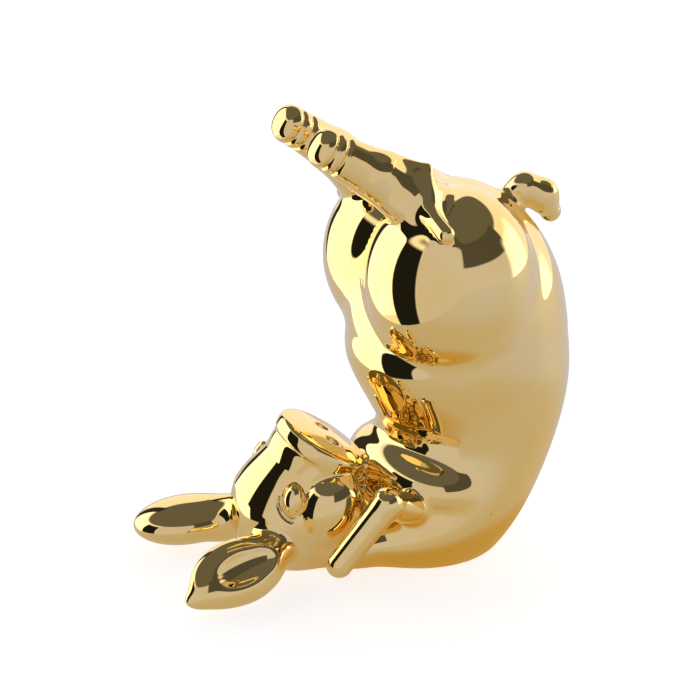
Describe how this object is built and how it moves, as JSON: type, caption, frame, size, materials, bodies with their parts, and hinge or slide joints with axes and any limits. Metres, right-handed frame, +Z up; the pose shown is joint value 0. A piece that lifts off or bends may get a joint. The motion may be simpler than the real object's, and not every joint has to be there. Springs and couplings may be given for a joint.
{
  "type": "pig money bank",
  "caption": "Hollow pig money bank in an upside-down stretch, resting on head and shoulders, with a coin slot along the spine and a rubber stopper in the base.",
  "frame": {"origin": "on the floor, under the middle of the bank's bounding box", "axes": "+Z up; +X toward the pig's back and tail; -X is where the crown, ears and hind hooves point; +Y is the pig's left side"},
  "size_m": [0.1796, 0.111, 0.1877],
  "materials": {
    "gold_glaze": "mirror gold plating over glazed ceramic",
    "rubber": "matte, translucent white"
  },
  "bodies": {
    "bank": {"trunk_shell": "gold_glaze", "head_shell": "gold_glaze", "snout_disc": "gold_glaze", "ear_right": "gold_glaze", "ear_left": "gold_glaze", "front_leg_right": "gold_glaze", "front_leg_left": "gold_glaze", "ham_right": "gold_glaze", "ham_left": "gold_glaze", "hind_leg_right": "gold_glaze", "hind_leg_left": "gold_glaze", "tail": "gold_glaze"},
    "stopper": {"stopper": "rubber"}
  },
  "joints": [
    {"name": "stopper_pull", "type": "slide", "parent": "bank", "child": "stopper", "axis": [0, 0, -1], "range_m": [0, 0.03]}
  ]
}
